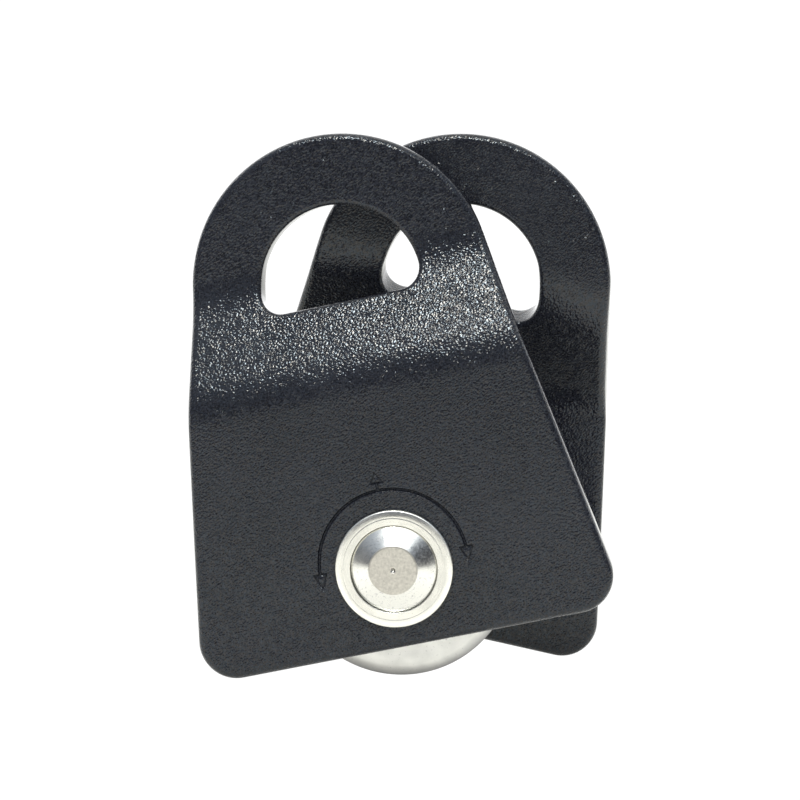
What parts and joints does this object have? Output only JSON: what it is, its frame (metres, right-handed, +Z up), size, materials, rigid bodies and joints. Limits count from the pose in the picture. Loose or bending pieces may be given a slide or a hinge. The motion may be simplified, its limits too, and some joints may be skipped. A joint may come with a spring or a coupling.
{
  "type": "single sheave block",
  "caption": "Single pulley block with a ball-bearing sheave between two joggled side plates that swing on the axle, each with a D-shaped connector eye.",
  "frame": {"origin": "centre of the opening that the eyes of the two plates share, where the connector that holds the block passes, in the plane between the plates", "axes": "+Z up from the axle towards the eyes, +Y along the axle from the front plate to the back plate, +X to the right seen from the front"},
  "size_m": [0.0704, 0.0328, 0.0891],
  "materials": {
    "side_plate": "matte black fine-textured powder coat on aluminium",
    "axle_steel": "satin turned stainless steel",
    "sheave_alloy": "satin machined aluminium",
    "bearing_steel": "polished",
    "seal_rubber": "matte",
    "cage_polymer": "matte"
  },
  "bodies": {
    "front_plate": {"front_plate": "side_plate"},
    "axle": {"axle_pin": "axle_steel", "front_flanged_bush": "axle_steel", "back_flanged_bush": "axle_steel", "front_spacer": "axle_steel", "back_spacer": "axle_steel", "centre_sleeve": "axle_steel", "front_bearing_inner_ring": "bearing_steel", "back_bearing_inner_ring": "bearing_steel"},
    "back_plate": {"back_plate": "side_plate"},
    "sheave": {"sheave": "sheave_alloy", "front_bearing_outer_ring": "bearing_steel", "front_bearing_outside_seal": "seal_rubber", "front_bearing_inside_seal": "seal_rubber", "back_bearing_outer_ring": "bearing_steel", "back_bearing_outside_seal": "seal_rubber", "back_bearing_inside_seal": "seal_rubber"},
    "front_ball_set": {"front_bearing_cage": "cage_polymer", "front_bearing_ball_1": "bearing_steel", "front_bearing_ball_2": "bearing_steel", "front_bearing_ball_3": "bearing_steel", "front_bearing_ball_4": "bearing_steel", "front_bearing_ball_5": "bearing_steel", "front_bearing_ball_6": "bearing_steel", "front_bearing_ball_7": "bearing_steel", "front_bearing_ball_8": "bearing_steel", "front_bearing_ball_9": "bearing_steel"},
    "back_ball_set": {"back_bearing_cage": "cage_polymer", "back_bearing_ball_1": "bearing_steel", "back_bearing_ball_2": "bearing_steel", "back_bearing_ball_3": "bearing_steel", "back_bearing_ball_4": "bearing_steel", "back_bearing_ball_5": "bearing_steel", "back_bearing_ball_6": "bearing_steel", "back_bearing_ball_7": "bearing_steel", "back_bearing_ball_8": "bearing_steel", "back_bearing_ball_9": "bearing_steel"}
  },
  "joints": [
    {"name": "front_plate_swing", "type": "hinge", "parent": "front_plate", "child": "axle", "pos_m": [0, 0, -0.0496], "axis": [0, 1, 0], "continuous": true},
    {"name": "back_plate_swing", "type": "hinge", "parent": "axle", "child": "back_plate", "pos_m": [0, 0, -0.0496], "axis": [0, 1, 0], "continuous": true},
    {"name": "sheave_spin", "type": "hinge", "parent": "axle", "child": "sheave", "pos_m": [0, 0, -0.0496], "axis": [0, 1, 0], "continuous": true},
    {"name": "front_ball_orbit", "type": "hinge", "parent": "axle", "child": "front_ball_set", "pos_m": [0, 0, -0.0496], "axis": [0, 1, 0], "continuous": true},
    {"name": "back_ball_orbit", "type": "hinge", "parent": "axle", "child": "back_ball_set", "pos_m": [0, 0, -0.0496], "axis": [0, 1, 0], "continuous": true}
  ],
  "couplings": [
    {"joint": "front_ball_orbit", "follows": "sheave_spin", "ratio": 0.59922},
    {"joint": "back_ball_orbit", "follows": "sheave_spin", "ratio": 0.59922}
  ]
}
